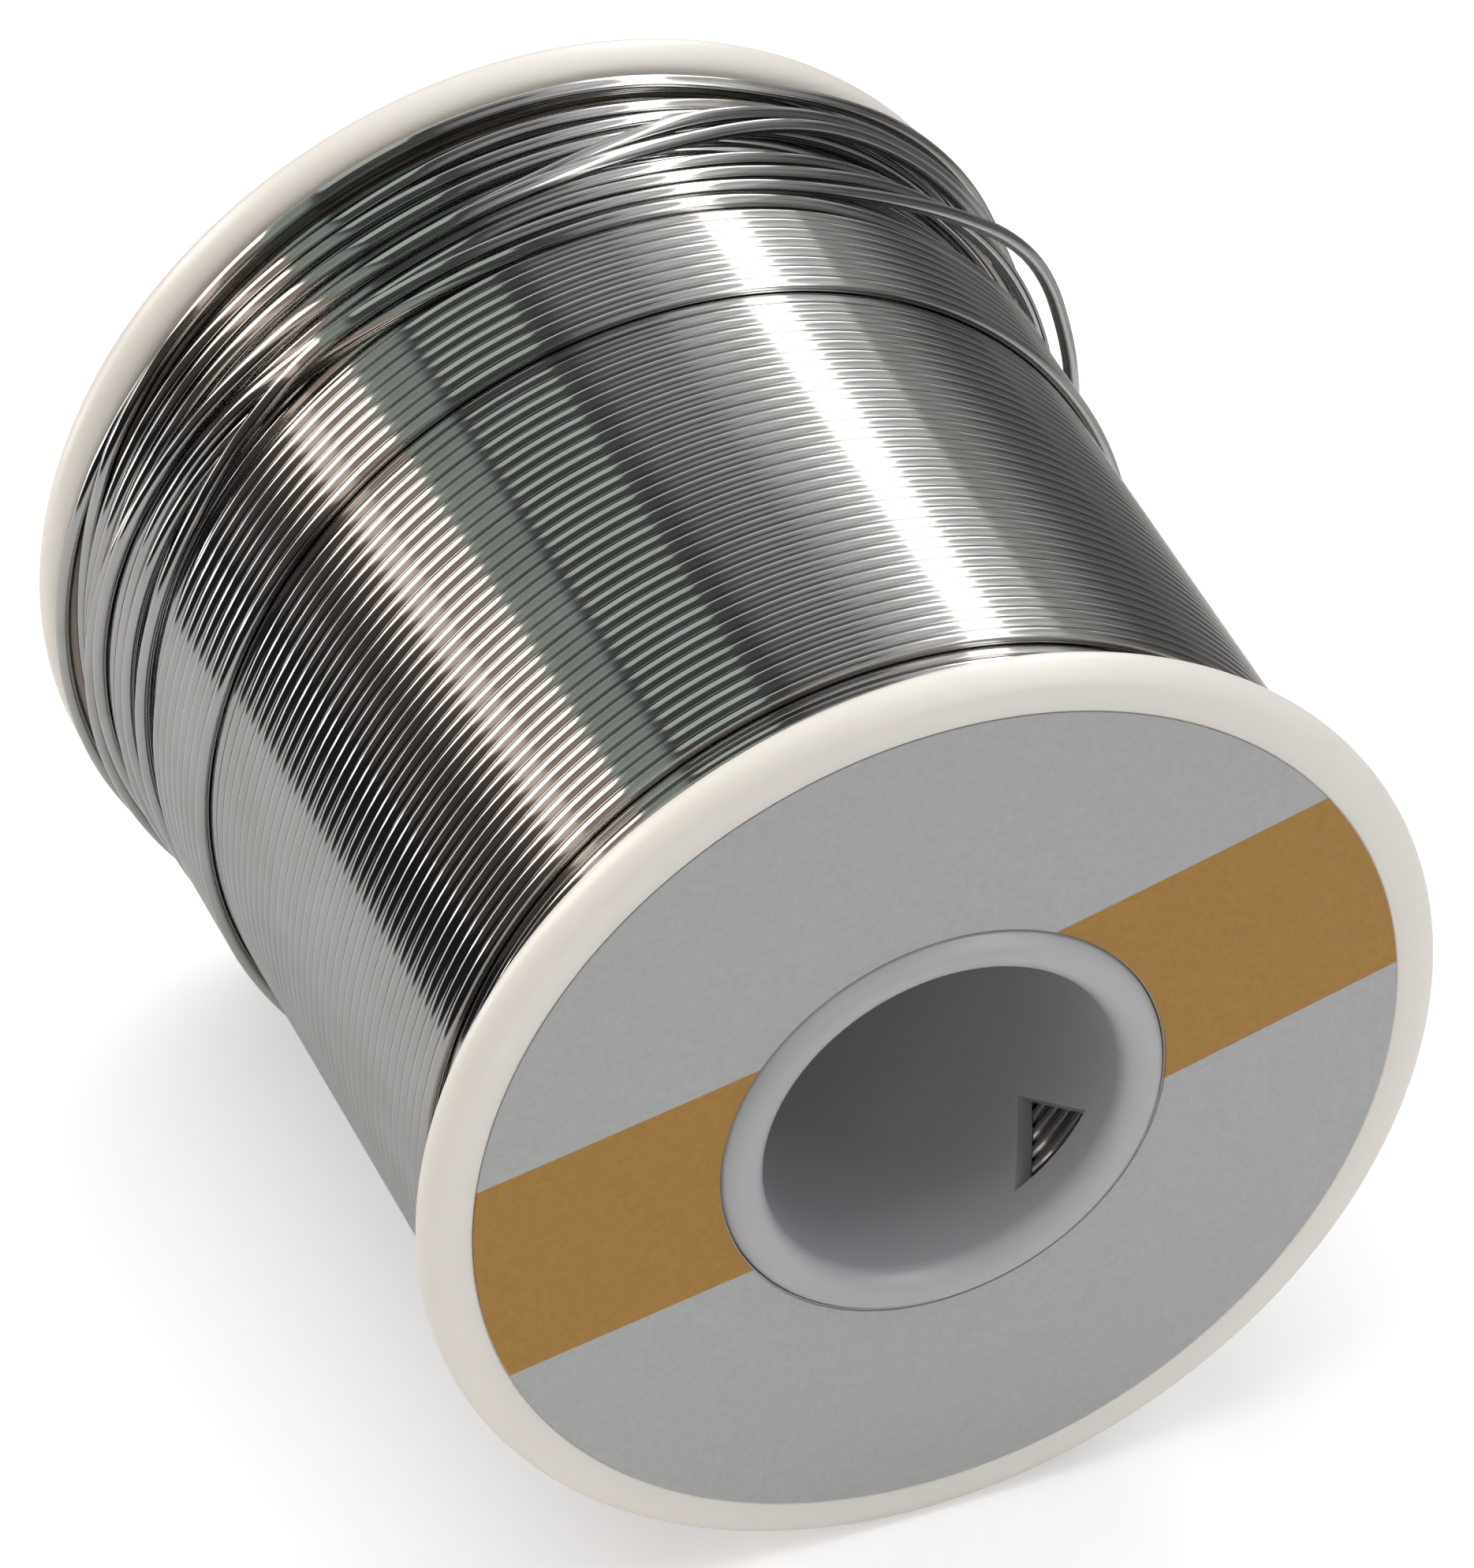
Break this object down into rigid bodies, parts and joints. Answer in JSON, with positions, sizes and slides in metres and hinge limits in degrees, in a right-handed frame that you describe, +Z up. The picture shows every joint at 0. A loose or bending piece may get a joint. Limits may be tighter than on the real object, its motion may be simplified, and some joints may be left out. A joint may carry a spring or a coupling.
{
  "type": "solder wire spool",
  "caption": "Small plastic spool of cored solder wire with an open bore, paper labels on both flanges and slack last turns, lying on its side.",
  "frame": {"origin": "centre of the spindle bore, halfway between the flanges", "axes": "+Y along the bore towards the far flange with the slack turns, +Z up as the spool lies on its flanges' rims, +X to the right seen from the near flange"},
  "size_m": [0.054, 0.0572, 0.054],
  "materials": {
    "barrel_plastic": "off-white moulded plastic, smooth, slightly glossy",
    "flange_plastic": "off-white moulded plastic, smooth, slightly glossy",
    "label_paper": "bare grey printed paper with one plain gold band",
    "solder_wire": "bright drawn tin-lead alloy wire, soft highlights"
  },
  "bodies": {
    "root": {"barrel": "barrel_plastic", "near_flange": "flange_plastic", "far_flange": "flange_plastic", "near_label": "label_paper", "far_label": "label_paper", "first_layer": "solder_wire", "inner_layers": "solder_wire", "top_layer": "solder_wire", "extra_layer": "solder_wire", "slack_turns": "solder_wire", "crossing_turns": "solder_wire", "outermost_turn": "solder_wire", "standing_loop": "solder_wire"}
  },
  "joints": []
}
